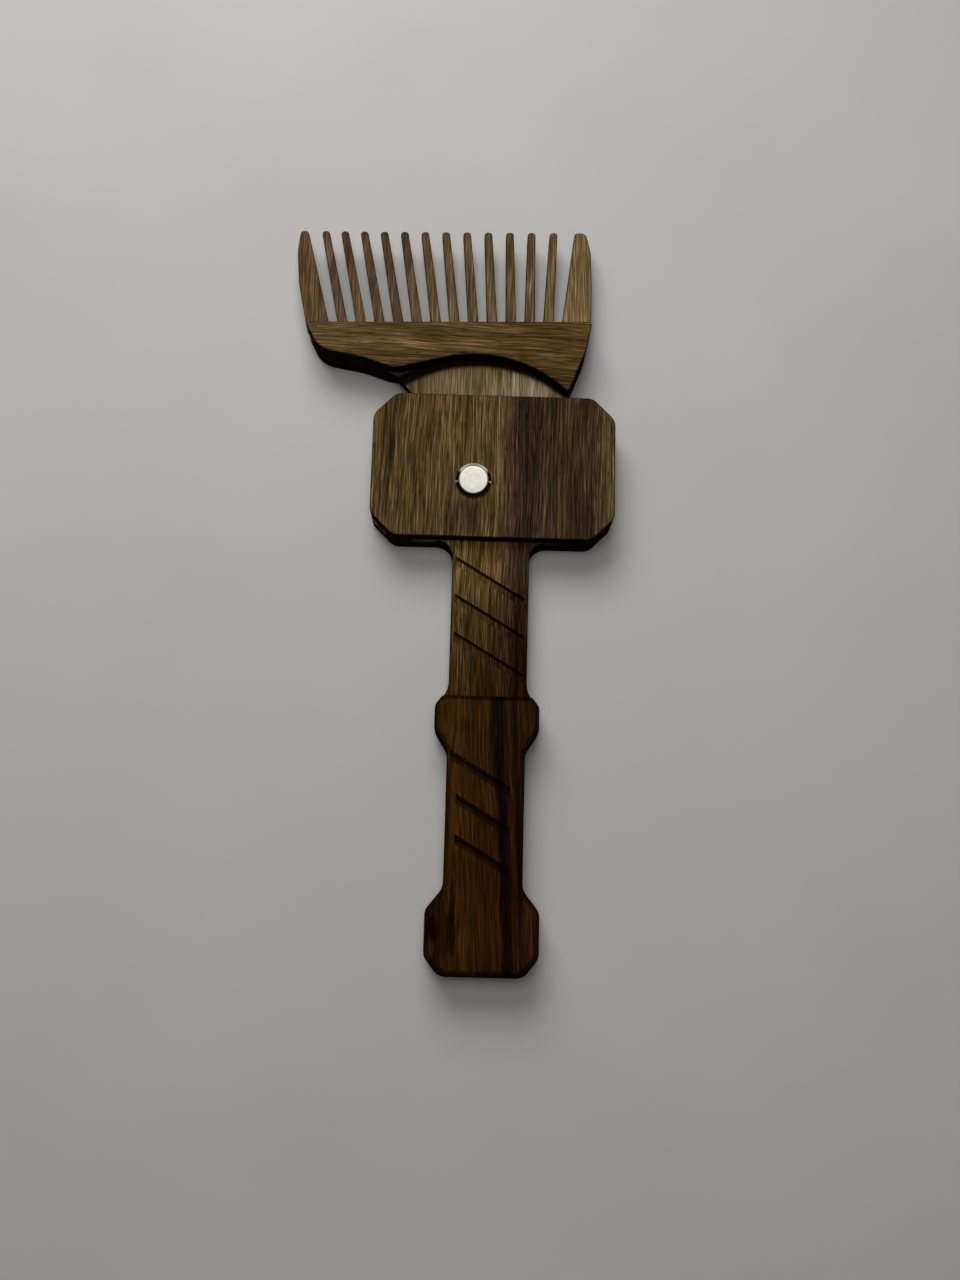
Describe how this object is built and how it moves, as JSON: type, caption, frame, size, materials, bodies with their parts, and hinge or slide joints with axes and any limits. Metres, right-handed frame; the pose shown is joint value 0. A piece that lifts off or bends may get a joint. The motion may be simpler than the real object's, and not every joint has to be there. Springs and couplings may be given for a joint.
{
  "type": "folding wooden comb",
  "caption": "Flat folding comb of layered wood in the shape of a hammer: a toothed head turns on a metal pivot in the hammer block, which has a grooved handle.",
  "frame": {"origin": "middle of the hammer block, on the flat back face that the comb lies on", "axes": "+Y runs along the handle towards the teeth, +X across the hammer block away from the beard-shaped end, +Z out of the front face"},
  "size_m": [0.0896, 0.2059, 0.0135],
  "materials": {
    "tooth_wood": "oiled walnut, grain along the teeth",
    "spine_wood": "oiled walnut, wavy grain across the comb",
    "hammer_wood": "oiled walnut, grain along the handle, with short dark pores",
    "handle_wood": "oiled walnut, darker towards the collar",
    "grip_wood": "dark oiled wood, satin, with reddish and near-black streaks",
    "pivot_metal": "turned and polished steel"
  },
  "bodies": {
    "handle": {"core": "handle_wood", "back_plate": "hammer_wood", "hammer_front_plate": "hammer_wood", "grip_front_plate": "grip_wood", "pivot_barrel": "pivot_metal", "pivot_screw": "pivot_metal"},
    "comb": {"tooth_plate": "tooth_wood", "spine_front_plate": "spine_wood", "spine_back_plate": "spine_wood"}
  },
  "joints": [
    {"name": "comb_pivot", "type": "hinge", "parent": "handle", "child": "comb", "pos_m": [-0.0053, -0.0045, 0.00625], "axis": [0, 0, 1], "range_deg": [-1.75, 88.25]}
  ]
}
